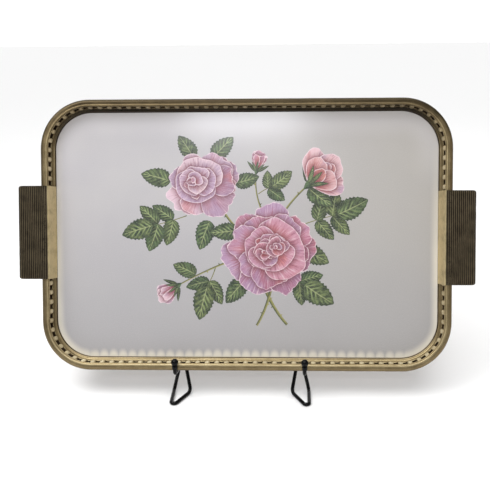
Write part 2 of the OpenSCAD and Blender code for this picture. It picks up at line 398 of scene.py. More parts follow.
def ribbed_bronze():
    """The handles' dark bronze, with gilt left on the rib tops and a pitted band by the rim."""
    paint = Paint("ribbed_bronze", Metallic=0.85)
    place = paint.object_place()
    patches = paint.noise(place, 90.0, 5.0, 0.7)
    lines = paint.noise(paint.scaled(paint.flow(), 130, 2600), 1.0, 3.0)
    pits = paint.remap(paint.noise(place, 900.0, 2.0), 0.56, 0.66)
    pitted = paint.times(pits, paint.attribute("pitted"))
    tone = paint.swayed(paint.swayed(paint.attribute("tone"), patches, 0.5), lines, 0.35)
    tone = paint.math("MULTIPLY_ADD", pitted, -0.4, tone)
    rough = paint.math("MULTIPLY_ADD", patches, 0.25, 0.27)
    paint.set(Base_Color=paint.ramp(tone, DARK_BRONZE), Roughness=rough)
    paint.bump(paint.math("MULTIPLY_ADD", pitted, -1.6, lines), 0.00008, 0.6)
    return paint.material


def black_enamel():
    """Glossy black dipped enamel, a little uneven, with dust-sized specks of bare steel."""
    paint = Paint("black_enamel", Specular_IOR_Level=0.14)
    place = paint.object_place()
    uneven = paint.noise(place, 260.0, 3.0)
    specks = paint.remap(paint.noise(place, 700.0, 2.0, 0.7), 0.735, 0.76)
    colour = paint.blend(specks, (0.002, 0.002, 0.0025), (0.06, 0.055, 0.05))
    paint.set(Base_Color=colour, Roughness=paint.remap(uneven, 0.3, 0.7, 0.07, 0.18))
    paint.bump(paint.math("SUBTRACT", uneven, specks), 0.00008, 0.5)
    return paint.material


def bare_steel():
    """The pin's turned steel, a little stained."""
    paint = Paint("bare_steel", Metallic=1.0)
    turned = paint.noise(paint.scaled(paint.flow(), 90, 4000), 1.0, 2.0)
    stain = paint.noise(paint.object_place(), 320.0, 3.0)
    colour = paint.blend(stain, (0.42, 0.41, 0.40), (0.24, 0.22, 0.20))
    paint.set(Base_Color=colour, Roughness=paint.remap(turned, 0.3, 0.7, 0.25, 0.45))
    paint.bump(turned, 0.00005, 0.4)
    return paint.material


def hardboard():
    """Hardboard: pressed fibres, with the screen's fine mesh on the back."""
    paint = Paint("hardboard")
    place = paint.object_place()
    fibres = paint.noise(paint.scaled(place, 1.0, 1.0, 3.0), 420.0, 5.0, 0.7, 1.5)
    stains = paint.noise(place, 14.0, 4.0)
    mesh_turns = 2 * pi / 0.0015
    threads = [paint.math("SINE", paint.times(lane, mesh_turns)) for lane in paint.split(place, (0, 2))]
    screen = paint.times(*[paint.size(thread) for thread in threads])
    board = paint.ramp(paint.math("MULTIPLY_ADD", fibres, 0.75, paint.times(stains, 0.25)), BOARD_BROWN)
    paint.set(Base_Color=paint.blend(paint.times(screen, 0.4), board, (0.10, 0.058, 0.033)),
              Roughness=paint.remap(fibres, 0.3, 0.7, 0.62, 0.85))
    paint.bump(paint.math("MULTIPLY_ADD", fibres, 0.5, screen), 0.00022, 0.7)
    return paint.material


RIM_GILT = gilt("rim_gilt")
GALLERY_GILT = gilt("gallery_gilt", brushed=0.3, lift=0.08, roughness=0.34, metallic=0.6)
RIVET_GILT = gilt("rivet_gilt", brushed=0.0, roughness=0.33)
BRONZE = ribbed_bronze()
ENAMEL = black_enamel()
STEEL = bare_steel()
HARDBOARD = hardboard()


# ---- The rim ----

SHEET_T = 0.8                        # the moulding's metal
STAR_IN = 8.2                        # inset and height of the gallery's stars
STAR_N = 8.0
STAR_PITCH = 10.7
SIDE = HALF_H - CORNER_R             # the straight part of a side, from the seam to a corner
STRAIGHT = 2 * (HALF_W - CORNER_R)   # the straight part of the top
BEADS_ACROSS = round(STRAIGHT / STAR_PITCH)


def rim_cells():
    """The gallery's cells from the right seam over the top to the left: (stretch, from, to, width)."""
    corner = (CORNER_R - STAR_IN) * pi / 2
    cells = []
    for name, span in zip(("right", "right_corner", "top", "left_corner", "left"),
                          (SIDE, corner, STRAIGHT, corner, SIDE)):
        count = round(span / STAR_PITCH)
        cells += [(name, i / count, (i + 1) / count, span / count) for i in range(count)]
    return cells


def rim_place(stretch, t, half):
    """Where the outer outline is, and which way is inward, at t along a stretch. half is 1 or -1."""
    corner_x = HALF_W - CORNER_R
    turn = {"right": 0, "right_corner": t * 90, "top": 90, "left_corner": 90 + t * 90, "left": 180}[stretch]
    outward = unit(turn)
    corner = outward * CORNER_R
    point = {"right": Vector((HALF_W, SIDE * t)),
             "left": Vector((-HALF_W, SIDE * (1 - t))),
             "top": Vector((corner_x - STRAIGHT * t, HALF_H)),
             "right_corner": Vector((corner_x, SIDE)) + corner,
             "left_corner": Vector((-corner_x, SIDE)) + corner}[stretch]
    return Vector((point.x, point.y * half)), Vector((-outward.x, -outward.y * half))


def rim_stations(half, per_cell):
    """(place, inward, distance along) for every station of a sweep along half the rim."""
    stations = []
    along = 0.0
    for stretch, start, end, width in rim_cells():
        for i in range(per_cell):
            t = mix(start, end, i / per_cell)
            stations.append((*rim_place(stretch, t, half), along + width * i / per_cell))
        along += width
    stations.append((*rim_place("left", 1.0, half), along))
    return stations


def on_rim(station, inset, n):
    """The point at an inset from the outline and a height n, at a station."""
    place, inward = station[:2]
    return Vector((place.x + inward.x * inset, place.y + inward.y * inset, n))


def painted_side_light(inward):
    """The rim is painted lighter along the bottom of the tray and darker along its top: a painted highlight
    below and painted shade above.
    """
    return inward.y * (0.06 if inward.y > 0 else 0.26)


def rim_sweep(bm, stations, profile, tones):
    """Sweeps a closed profile of (inset, n) points along the stations, with flat ends."""
    girth = lengths([Vector(point) for point in profile] + [Vector(profile[0])])
    rows = [[on_rim(station, inset, n) for inset, n in profile] for station in stations]
    # Each station's tones carry the painted highlight along the tray's bottom and the painted shade along its
    # top.
    loft(bm, rows, lambda i, k: (stations[i][2] * MM, girth[k] * MM),
         [[tone + painted_side_light(station[1]) for tone in tones] for station in stations])


def moulding_profile():
    """The roll-formed sheet, from its hem under the board round the skirt to the edge over the gallery."""
    top = RISE - SHEET_T / 2
    bottom = UNDER + SHEET_T / 2
    skirt = SHEET_T / 2
    hem_in, crest_in = 9.0, 7.1
    line = rounded([(-hem_in, bottom), (-skirt, bottom), (-skirt, top - 1.0), (-3.4, top - 0.35),
                    (-5.6, top - 0.55), (-6.2, top), (-crest_in, top), (-crest_in, top - 2.4)],
                   [0.6, 2.4, 2.5, 0.6, 0.5, 0.4], 6)
    under, over = sheet(line, SHEET_T)
    outer, inner = ([(-p.x, p.y) for p in side] for side in (over, under))
    tones = [moulding_tone(inset) if n > top - 3 else 0.30 for inset, n in outer]
    # The sheet's inside, seen only through the gallery's stars, is painted black as painted shade.
    return outer + inner[::-1], tones + [0.0] * len(inner)


def moulding_tone(inset):
    """The flange is lighter towards its inner edge, and lightest on the ridge there."""
    return mix(0.40, 0.60, smooth(0.8, 5.5, inset)) + 0.18 * exp(-((inset - 6.7) / 0.7) ** 2)


def make_moulding(name, half):
    """One half of the rim's moulding. half is 1 for the upper and -1 for the lower."""
    bm = new_bmesh()
    profile, tones = moulding_profile()
    rim_sweep(bm, rim_stations(half, 3), profile, tones)
    return make_piece(name + "_moulding", bm, "tray", RIM_GILT, [name], TRAY, angle=35)


# ---- The pierced gallery ----

WALL_LOW = (8.65, 1.9)     # inset and height of the wall's foot
WALL_HIGH = (7.85, 13.6)   # and of its top
STAR_HALF = (3.2, 4.4)     # half the width and height of a pierced star
STAR_WAIST = 0.5           # how far out a star's hollow sides stand, as a share of its half size
BEAD_HALF = (2.8, 4.5)     # half the width and height of a raised bead
BEAD_IN = 10.5             # inset of the round bead along the lip
BORDER_N = 12.95           # height of the fine line along the gallery's top
STRIP_T = 0.5              # the pierced strip's metal
EDGE_STEPS = 10            # points along each side of a star
RINGS = (0.0, 0.10, 0.24, 0.45, 0.70, 1.0)   # shares of the way from a star to its cell's edge


def star_cell(width):
    """Rings of (s, n) points from the star's outline out to the cell's own edge."""
    low, high = WALL_LOW[1] - STAR_N, WALL_HIGH[1] - STAR_N
    half = width / 2
    corners = [Vector(c) for c in ((-half, low), (half, low), (half, high), (-half, high))]
    tips = [Vector((x * STAR_HALF[0], n * STAR_HALF[1])) for x, n in ((-1, -1), (1, -1), (1, 1), (-1, 1))]
    rings = [[] for _ in RINGS]
    for side in range(4):
        after = (side + 1) % 4
        tip_a, tip_b = tips[side], tips[after]
        waist = (tip_a + tip_b) / 2 * STAR_WAIST
        for t in (j / EDGE_STEPS for j in range(EDGE_STEPS)):
            star = tip_a * (1 - t) ** 2 + waist * 2 * t * (1 - t) + tip_b * t ** 2
            edge = mix(corners[side], corners[after], t)
            for ring, share in zip(rings, RINGS):
                ring.append(mix(star, edge, share))
    return rings


def bead_height(s, n, half_width):
    """How far the gallery stands out at a point of a cell: an oval dome halfway between two stars."""
    square = ((abs(s) - half_width) / BEAD_HALF[0]) ** 2 + (n / BEAD_HALF[1]) ** 2
    return sqrt(max(1 - square, 0.0))


def wall_relief(s, n, width, ring):
    """How far a point of a cell stands out and its tone: lighter up the wall, on the bead and on the border
    line, with painted shade on the rolled star edge.
    """
    bead = bead_height(s, n, width / 2)
    height = n + STAR_N
    border = exp(-((height - BORDER_N) / 0.5) ** 2)
    rolled = 0.5 * max(0.0, 1 - ring / 0.2) ** 2
    tone = mix(0.46, 0.64, smooth(2.6, 5.0, height)) + 0.16 * smooth(0.0, 0.8, bead)
    return bead + 0.3 * border - rolled, tone - 0.2 * rolled + 0.12 * border


def cell_row(bm, cell, half, ring, points):
    """One ring of a cell's vertices on the leaning wall."""
    tone = bm.verts.layers.float["tone"]
    stretch, start, end, width = cell
    # Painted light: the wall is painted lighter along the tray's bottom and darker along its top.
    wear_and_painted_light = painted_side_light(rim_place(stretch, (start + end) / 2, half)[1])
    row = []
    for point in points:
        out, rub = wall_relief(point.x, point.y, width, ring)
        height = point.y + STAR_N
        up = (height - WALL_LOW[1]) / (WALL_HIGH[1] - WALL_LOW[1])
        place = rim_place(stretch, mix(start, end, point.x / width + 0.5), half)
        vert = bm.verts.new(on_rim(place, mix(WALL_LOW[0], WALL_HIGH[0], up) + out, height))
        vert[tone] = rub + wear_and_painted_light
        row.append(vert)
    return row


def gallery_wall(bm, half):
    """The pierced wall, cell by cell, each a set of rings round its star."""
    flow = bm.loops.layers.uv["flow"]
    along = 0.0
    for cell in rim_cells():
        width = cell[3]
        rings = star_cell(width)
        verts = [cell_row(bm, cell, half, share, ring) for share, ring in zip(RINGS, rings)]
        count = len(rings[0])
        for i in range(len(rings) - 1):
            for k in range(count):
                ends = ((i, k), (i, (k + 1) % count), (i + 1, (k + 1) % count), (i + 1, k))
                face = bm.faces.new([verts[a][b] for a, b in ends])
                for loop, (a, b) in zip(face.loops, ends):
                    loop[flow].uv = ((along + width / 2 + rings[a][b].x) * MM, rings[a][b].y * MM)
        along += width


def lip_line():
    """The lip from the foot of the wall, over a raised bead, to its edge by the print."""
    line = rounded([WALL_LOW, (8.85, 0.75), (9.8, 0.05)], [0.9], 4)
    line += [Vector((BEAD_IN + x, n)) for x, n in arc(0.72, 0.62, range(165, 14, -25))]
    return line + [Vector((11.72, -0.1)), Vector((11.9, -0.3))]


def lip_tone(inset, n):
    """The lip has a painted highlight on its bead, is lighter towards its foot, and has painted shade where
    it turns down to the print.
    """
    bead = exp(-((inset - BEAD_IN) / 0.5) ** 2)
    return 0.50 + 0.16 * bead - 0.42 * smooth(10.8, 11.3, inset) + 0.06 * smooth(0.6, 1.9, n)


def make_gallery(name, half):
    """One half of the pierced strip: the wall and the lip as one open sheet, then thickened."""
    bm = new_bmesh()
    gallery_wall(bm, half)
    line = lip_line()
    stations = rim_stations(half, EDGE_STEPS)
    girth = lengths(line)
    wall_girth = 20
    rows = [[on_rim(station, p.x, p.y) for p in line] for station in stations]
    # The lip takes twice the rim's painted highlight along the bottom and painted shade along the top.
    tones = [[lip_tone(p.x, p.y) + 2 * painted_side_light(station[1]) for p in line] for station in stations]
    grid(bm, rows, lambda i, k: (stations[i][2] * MM, (girth[k] + wall_girth) * MM), tones)
    bmesh.ops.remove_doubles(bm, verts=bm.verts, dist=1e-3)
    bmesh.ops.recalc_face_normals(bm, faces=bm.faces)
    centres = {face: face.calc_center_median() for face in bm.faces}
    foot = min(bm.faces, key=lambda face: abs(centres[face].x) + abs(centres[face].z - 2))
    if foot.normal.y * half > 0:
        bmesh.ops.reverse_faces(bm, faces=bm.faces)
    bm.normal_update()
    bmesh.ops.solidify(bm, geom=bm.faces[:], thickness=STRIP_T)
    return make_piece(name + "_strip", bm, "tray", GALLERY_GILT, [name], TRAY, angle=50)


# ---- The handles ----

HANDLE_T = 1.0      # the handles' metal
RIB_PITCH = 2.1
RIB_H = 0.62
RIB_STEPS = 10      # points along a rib's section
FALL = 0.6          # how far a handle's top falls to its outer edge
STRIP_IN = -8.6     # where the plain strip bends into the ribbed top, out past the rim


def ribbed_top(edge, top):
    """The corrugated part of a handle's top, from the plain strip to the outer edge."""
    ribs = floor((edge - 2.0 - (STRIP_IN + 1.2)) / RIB_PITCH)
    begin = edge - 1.6 - ribs * RIB_PITCH
    points = []
    for i in range(ribs * RIB_STEPS + 1):
        x = begin + i * RIB_PITCH / RIB_STEPS
        fall = (x - STRIP_IN) * FALL / (edge - STRIP_IN)
        rib = RIB_H * abs(sin(pi * i / RIB_STEPS)) ** 0.8
        points.append(Vector((x, top + HANDLE_T / 2 - 0.25 - fall + rib)))
    return points


def handle_profile(edge, top):
    """The handle sheet's closed outline as (distance out past the rim, n), and its tone and pit values."""
    bottom = UNDER - HANDLE_T / 2
    skirt = PLAY + HANDLE_T / 2
    grip_low = top - 7
    line = rounded([(-11.75, PLAY + 0.05), (STRIP_IN, top), (edge, top - FALL), (edge, grip_low),
                    (skirt, grip_low), (skirt, bottom), (-20.0, bottom)], [1.9, 2.4, 2.4, 1.4, 1.0], 8)
    outer, inner = sheet(line, HANDLE_T)
    ribbed = ribbed_top(edge, top)
    first = next(i for i, p in enumerate(outer) if p.x > STRIP_IN + 1.5)
    last = max(i for i, p in enumerate(outer) if p.y > top - 0.3)
    before = [p for p in outer[:first] if p.x < ribbed[0].x - 0.2]
    after = [p for p in outer[last:] if p.x > ribbed[-1].x + 0.1 or p.y < top - 1]
    tones = [mix(0.98, 0.42, smooth(STRIP_IN + 0.1, STRIP_IN + 1.4, p.x)) for p in before]
    tones += [0.04 + 0.56 * abs(sin(pi * i / RIB_STEPS)) ** 3 for i in range(len(ribbed))]
    rest = after + inner[::-1]
    pitted = [exp(-((p.x + 4.5) / 3.2) ** 2) for p in ribbed]
    pitted = [0.0] * len(before) + pitted + [0.0] * len(rest)
    return before + ribbed + rest, tones + [0.30] * len(rest), pitted


def make_handle(name, side):
    """A handle. side is 1 on the right and -1 on the left."""
    low, high = tray_box(name, ORIGIN)
    reach = max(abs(low.x), abs(high.x)) - HALF_W - HANDLE_T / 2
    outline, tones, pits = handle_profile(reach, RISE + PLAY + HANDLE_T / 2)
    bm = new_bmesh()
    pitted = bm.verts.layers.float.new("pitted")
    girth = lengths(outline + [outline[0]])
    corner_r = 2.6
    length = high.y - low.y
    ends = [0, 0.25, 0.7, 1.3, 2.0, 2.8, 4.0]
    middles = [mix(ends[-1], length - ends[-1], i / 12) for i in range(1, 12)]
    stations = ends + middles + [length - end for end in reversed(ends)]
    rows = []
    for along in stations:
        short_of = max(corner_r - min(along, length - along), 0)
        cut = corner_r - sqrt(max(corner_r ** 2 - short_of ** 2, 0))
        wear_and_painted_light = 0.12 * (noise.noise(Vector((along * 0.11, side * 3.1, 0.5))) - 1)
        outs = [p.x - (cut - wear_and_painted_light) * smooth(reach - 6, reach, p.x) for p in outline]
        rows.append([Vector((side * (HALF_W + x), low.y + along, p.y)) for x, p in zip(outs, outline)])
    verts = loft(bm, rows, lambda i, k: (stations[i] * MM, girth[k] * MM), [tones] * len(rows))
    for row in verts:
        for vert, value in zip(row, pits):
            vert[pitted] = value
    return make_piece(name + "_sheet", bm, "tray", BRONZE, [name], TRAY, angle=50)


def make_rivets(name):
    """The two domed rivets of a handle, in the two places that the CAD node has."""
    low, high = tray_box(name, ORIGIN)
    bm = new_bmesh()
    head_r, shank_r, under = (high.x - low.x) / 2, 1.5, UNDER - HANDLE_T
    profile = [(shank_r, -3.0), (shank_r, 0.0), (head_r - 0.25, 0.0)]
    profile += arc(head_r, 1.15, range(0, 90, 10), 0.12) + [(0, 1.27)]
    for v in (low.y + head_r, high.y - head_r):
        away = Matrix.Translation(((low.x + high.x) / 2, v, under)) @ Matrix.Rotation(pi, 4, "X")
        lathe(bm, profile, away, sides=32)
    tone = bm.verts.layers.float["tone"]
    for vert in bm.verts:
        vert[tone] = 0.35 + 0.35 * smooth(under, under - 1.2, vert.co.z)
    return make_piece(name + "_heads", bm, "tray", RIVET_GILT, [name], TRAY)


# ---- The easel ----

EASEL_X = JOINTS["rear_leg_fold"]["pos_m"][0] / MM
HINGE = Vector(JOINTS["rear_leg_fold"]["pos_m"]) / MM
ROW = Matrix.Scale(MM, 4)
WIRE_R = 2.0
ROD_N = UNDER - PLAY - WIRE_R        # the front rods' axis, behind the tray
SEAT_V = -HALF_H - PLAY - WIRE_R     # the seat wires' axis, under the tray
BAR_X = 38.0                         # half the top bar
UPRIGHT_X = 76.0                     # half the distance between the uprights
HEEL_X = 57.5                        # where the foot loops touch the table behind
TOE_X = 71.0                         # and in front
LEG_LEAN = radians(17)               # of the open rear leg, from upright
LEG_X = 42.0                         # half the rear leg's foot bar
PIN_R = 1.5
LUG_BORE = 1.56                      # radius of the hole in a lug


def make_enamelled(name, bm, body="easel", node=None, matrix=TRAY):
    """A piece of the easel in black enamel, for its CAD node if it has one."""
    return make_piece(name, bm, body, ENAMEL, [node] if node else (), matrix)


def box_middle(node):
    """The low and high corners of a CAD node on the tray's axes, and the middle between them."""
    low, high = tray_box(node, ORIGIN)
    return low, high, (low + high) / 2


def on_tray(x, v, n):
    """A point of the tray's frame in row millimetres."""
    return TRAY @ Vector((x, v, n)) / MM


def front_rod_line(side):
    """The bent wire of one half of the front frame, from the top bar's middle to the hook."""
    ball_low, ball_high, ball = box_middle("right_ball_tip")
    hook_x = ball.x - EASEL_X
    tip_v = ball_high.y - (ball_high.x - ball_low.x) / 2
    seat_n = ROD_N - 3.5
    hinge_v = tray_box("hinge_pin", ORIGIN)[0].y + PIN_R
    foot_v = (WIRE_R - on_tray(0, 0, ROD_N).z) / UP.z
    toe_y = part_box("right_front_rod")[0].y / MM + WIRE_R

    def at(half_x, v, n):
        point = on_tray(0, v, n)
        return Vector((EASEL_X + side * half_x, point.y, point.z))

    def ground(half_x, y):
        return Vector((EASEL_X + side * half_x, y, WIRE_R))

    points = [at(0, hinge_v, ROD_N), at(BAR_X, hinge_v, ROD_N), at(UPRIGHT_X, 0, ROD_N),
              at(UPRIGHT_X, -75, ROD_N), ground(HEEL_X, at(0, foot_v, ROD_N).y),
              ground(TOE_X, toe_y), ground(UPRIGHT_X + 0.2, toe_y),
              ground(UPRIGHT_X + 1, at(0, SEAT_V, seat_n).y - 5), at(hook_x, SEAT_V, seat_n),
              at(hook_x, SEAT_V, ball.z), at(hook_x, tip_v, ball.z)]
    return rounded(points, [16, 60, 40, 6, 3.2, 3.2, 9, 7, 5], 12)


def make_front_rod(name, side):
    bm = new_bmesh()
    tube(bm, front_rod_line(side), WIRE_R)
    return make_enamelled(name + "_wire", bm, "easel", name, ROW)


def make_ball(name):
    """A moulded ball with a sleeve over the end of the wire."""
    low, high, middle = box_middle(name)
    radius = (high.x - low.x) / 2
    middle.y = high.y - radius
    foot = low.y - middle.y
    sleeve_r = WIRE_R + 1.0
    neck = [(WIRE_R + 0.05, foot), (sleeve_r - 0.25, foot), (sleeve_r, foot + 0.4), (sleeve_r, -radius - 0.2)]
    bm = new_bmesh()
    along_v = Matrix.Translation(middle) @ Matrix.Rotation(radians(-90), 4, "X")
    lathe(bm, neck + arc(radius, radius, range(-45, 90, 9)) + [(0, radius)], along_v, sides=40)
    return make_enamelled(name + "_bead", bm, "easel", name)


def make_brace():
    low, high, middle = box_middle("cross_brace")
    bm = new_bmesh()
    tube(bm, [Vector((mix(low.x, high.x, i / 20), middle.y, middle.z)) for i in range(21)], WIRE_R)
    return make_enamelled("brace_wire", bm, "easel", "cross_brace")


def weld(bm, middle, size, seed):
    """A small lumpy fillet of weld metal under the enamel."""
    made = bmesh.ops.create_icosphere(bm, subdivisions=3, radius=1.0)
    for vert in made["verts"]:
        lump = 1 + 0.16 * noise.noise(vert.co * 2.1 + Vector((seed, seed * 0.7, 0)))
        vert.co = Vector(middle) + Vector([c * s * lump for c, s in zip(vert.co, size)])


def make_front_welds():
    """The fillets at the brace's ends and between the top bar and the barrel."""
    bm = new_bmesh()
    low, high, middle = box_middle("cross_brace")
    for k, x in enumerate((low.x + 1.0, high.x - 1.0)):
        for up in (-1, 1):
            weld(bm, (x, middle.y + 1.15 * up, high.z - 0.1), (1.5, 1.15, 0.9), 3.1 * k + up)
    low, high, middle = box_middle("hinge_barrel")
    for k in range(3):
        x = mix(low.x + 5, high.x - 5, k / 2)
        for up in (-1, 1):
            weld(bm, (x, middle.y + 1.7 * up, high.z - 0.35), (2.6, 0.8, 0.75), k + 9)
    return make_enamelled("front_welds", bm)


def along_x(x, middle, way=1):
    """A turned part's axis laid along X from x, level with a middle. way is -1 to face the left."""
    turn = Matrix.Rotation(radians(90), 4, "Y")
    if way < 0:
        turn = turn @ Matrix.Rotation(pi, 4, "X")
    return Matrix.Translation((x, middle.y, middle.z)) @ turn


def make_barrel():
    low, high, middle = box_middle("hinge_barrel")
    radius, length, bore = (high.y - low.y) / 2, high.x - low.x, PIN_R + 0.02
    bm = new_bmesh()
    rim = [(bore + 0.08, 0.0), (radius - 0.5, 0.0), (radius - 0.15, 0.15), (radius, 0.5)]
    profile = rim + [(r, length - z) for r, z in reversed(rim)] + [(bore, length), (bore, 0.0)]
    lathe(bm, profile, along_x(low.x, middle), ring=True)
    make_enamelled("hinge_tube", bm, "easel", "hinge_barrel")


def make_pin():
    low, high, middle = box_middle("hinge_pin")
    length = high.x - low.x
    bm = new_bmesh()
    profile = [(0, 0), (1.2, 0.0), (PIN_R, 0.3), (PIN_R, length - 0.3), (1.2, length), (0, length)]
    lathe(bm, profile, along_x(low.x, middle), sides=32)
    make_piece("hinge_pin_rod", bm, "easel", STEEL, ["hinge_pin"], TRAY)


def make_pin_cap(name, side):
    low, high, middle = box_middle(name)
    radius, length, dome_h = (high.y - low.y) / 2, high.x - low.x, 1.3
    bm = new_bmesh()
    profile = [(PIN_R + 0.05, 0), (radius - 0.3, 0), (radius, 0.3)]
    profile += arc(radius, dome_h, range(0, 90, 10), length - dome_h) + [(0, length)]
    lathe(bm, profile, along_x(low.x if side > 0 else high.x, middle, side), sides=40)
    make_enamelled(name + "_dome", bm, "easel", name)


def make_rear_leg():
    """The rear leg's wire and the fillets that hold its lugs."""
    arm = tray_box("right_lug", ORIGIN)[1].x - EASEL_X + WIRE_R - 0.1
    reach = (HINGE.z - WIRE_R) / cos(LEG_LEAN)
    down = Vector((0, sin(LEG_LEAN), -cos(LEG_LEAN)))

    def at(half_x, distance):
        return Vector((half_x, 0, 0)) + HINGE + down * distance

    points = [at(arm, 6), at(arm, 40), at(LEG_X, reach), at(-LEG_X, reach), at(-arm, 40), at(-arm, 6)]
    bm = new_bmesh()
    tube(bm, rounded(points, [40, 12, 12, 40], 14), WIRE_R)
    for side in (-1, 1):
        for k, distance in enumerate((6.6, 9.2)):
            weld(bm, at(side * (arm - 1.5), distance), (0.8, 0.9, 1.2), side + k * 2.3)
    return make_enamelled("rear_leg_wire", bm, "rear_leg", "rear_leg", ROW)


def lug_outlines():
    """The plate's outline and its eye's edge, about the pin's axis."""
    eye_r, nose_n = 3.85, WIRE_R + 0.4
    corners = [(0, -eye_r), (4, -eye_r), (5.55, 5.4), (3.7, 7.1), (nose_n, 7.1), (nose_n, 4.6), (0, eye_r)]
    nose = rounded(corners, [2.5, 1.5, 0.8, 0.5, 1.2], 5)[1:-1]
    eye = [Vector(point) for point in arc(eye_r, eye_r, range(100, 270, 10))]
    hole = [Vector(point) for point in arc(LUG_BORE, LUG_BORE, range(0, 360, 12))]
    return nose + eye, hole


def make_lug(name):
    """A stamped plate with an eye for the pin and a nose that stops on the top bar."""
    low, high = tray_box(name, ORIGIN)
    pin = box_middle("hinge_pin")[2]
    verts, edges = [], []
    for loop in lug_outlines():
        first = len(verts)
        verts += loop
        edges += [(first + i, first + (i + 1) % len(loop)) for i in range(len(loop))]
    points, _, faces, _, _, _ = delaunay_2d_cdt(verts, edges, [], 1, 1e-5)
    bm = new_bmesh()
    made = [bm.verts.new((low.x, pin.y + p.x, pin.z + p.y)) for p in points]
    for face in faces:
        middle = sum((points[i] for i in face), Vector((0, 0))) / len(face)
        if middle.length > LUG_BORE * 1.1:
            bm.faces.new([made[i] for i in face])
    grown = bmesh.ops.extrude_face_region(bm, geom=bm.faces[:])["geom"]
    raised = [item for item in grown if isinstance(item, bmesh.types.BMVert)]
    bmesh.ops.translate(bm, vec=(high.x - low.x, 0, 0), verts=raised)
    bmesh.ops.recalc_face_normals(bm, faces=bm.faces)
    sharp = [e for e in bm.edges if e.calc_face_angle(0) > radians(60)]
    bmesh.ops.bevel(bm, geom=sharp, offset=0.22, segments=2, profile=0.5, affect="EDGES")
    return make_enamelled(name + "_plate", bm, "rear_leg", name)


# ---- The printed face: a spray of roses, every petal, leaf and stem an area of the plate's mesh ----

PAPER, PETAL, LEAF, STEM = range(4)
draw = random.Random(11)


def srgb(r, g, b):
    """A colour given as 0 to 255 per channel, made linear."""
    return tuple(((c / 255 + 0.055) / 1.055) ** 2.4 for c in (r, g, b))


def toward(colour, other, share):
    return tuple(mix(a, b, share) for a, b in zip(colour, other))


def vary(colour, other, amount):
    """A colour somewhere on the way to another one, up to amount of it, a little lighter or darker."""
    share = draw.uniform(0, amount)
    light = draw.uniform(0.92, 1.08)
    return tuple(mix(a, b, share) * light for a, b in zip(colour, other))


PALE_ROSE = srgb(226, 198, 206)
LILAC = srgb(172, 146, 178)
PINK = srgb(194, 120, 138)
SALMON = srgb(200, 112, 104)
WINE = srgb(122, 54, 70)
PLUM = srgb(138, 80, 108)
DARK_GREEN = srgb(38, 56, 38)
MID_GREEN = srgb(84, 108, 68)
OLIVE = srgb(150, 146, 84)
MOSS = srgb(84, 88, 50)
SHADED = -40.0   # the side of a bloom that lies in shade, in degrees


class Shape:
    """A painted shape: its outline, points inside it, and how to read a point's place (u, v) in it."""

    def __init__(self, kind, bloom, outline, samples, place, tint, deep):
        self.kind = kind
        self.bloom = bloom
        self.outline = np.array(outline)
        ahead = np.roll(self.outline, -1, axis=0)
        if (self.outline[:, 0] * ahead[:, 1] - self.outline[:, 1] * ahead[:, 0]).sum() < 0:
            self.outline = self.outline[::-1]
        self.samples = samples
        self.place = place
        self.tint = (*tint, draw.random())
        self.deep = (*deep, 1.0)


class Bloom:
    """A flower's own frame on the face: turned, squashed and placed."""

    def __init__(self, number, x, y, turn=0.0, squash=1.0):
        self.number = number
        turned = Matrix.Rotation(radians(turn), 2)
        self.out = turned @ Matrix(((1, 0), (0, squash)))
        self.back = self.out.inverted()
        self.middle = Vector((x, y))

    def on_face(self, q):
        return self.middle + self.out @ Vector(q)

    def from_face(self, p):
        return self.back @ (Vector(p) - self.middle)


def petal(bloom, base, turn, reach, spread, tint, deep, point=0.0, full=3.0):
    """A petal drawn from its base in polar form: turn and spread in degrees, point raises its middle."""
    base = Vector(base)
    turn, spread = radians(turn), radians(spread)
    wave = draw.uniform(0, 100)
    lean = draw.uniform(-0.35, 0.35)

    def rim(t):
        body = max(1 - abs(t) ** full, 0.0) ** 0.42
        ruffle = 0.12 * noise.noise(Vector((t * 2.1, wave, 0)))
        ruffle += 0.06 * noise.noise(Vector((t * 6.5, wave, 3)))
        tip = point * exp(-((t - lean) / 0.2) ** 2)
        return reach * max(body * (1 + ruffle + tip), 0.02)

    def at(t, share):
        angle = turn + t * spread
        return bloom.on_face(base + Vector((cos(angle), sin(angle))) * rim(t) * share)

    def place(p):
        arm = bloom.from_face(p) - base
        angle = (atan2(arm.y, arm.x) - turn + pi) % (2 * pi) - pi
        t = max(-1.0, min(1.0, angle / spread))
        return t, min(arm.length / rim(t), 1.0)

    count = max(9, round(reach * spread / 1.1))
    turns = [sin(pi / 2 * (2 * i / count - 1)) for i in range(count + 1)]
    outline = [at(t, 1.0) for t in turns]
    samples = [at(t, share) for share in (0.94, 0.84, 0.7, 0.52, 0.34) for t in turns[1:-1:2]]
    return Shape(PETAL, bloom.number, outline, samples, place, tint, deep)


def heart(bloom, middle, reach, count, colours, start, drift=(0, 0)):
    """Petals that wrap round a flower's middle, each a little smaller and further round than the last."""
    shapes = []
    turn = start
    for k in range(count):
        share = (1 - k / count) ** 0.92 * draw.uniform(0.95, 1.06)
        tint = vary(colours[0], colours[1], 0.8)
        deep = vary(colours[2], WINE, 0.75)
        away = unit(turn)
        back = draw.uniform(0.12, 0.32)
        size = reach * share
        base = Vector(middle) + Vector(drift) * k / count - away * size * back
        shapes.append(petal(bloom, base, turn, size * (0.94 + back), draw.uniform(60, 108), tint, deep,
                            point=draw.uniform(-0.06, 0.12), full=3.4))
        if k % 3 == 1:
            shapes.append(petal(bloom, base + away * size * 0.3, turn + draw.uniform(-70, 70), size * 0.62,
                                draw.uniform(26, 40), deep, tint, point=0.05))
        turn += 137.5 + draw.uniform(-42, 42)
    return shapes


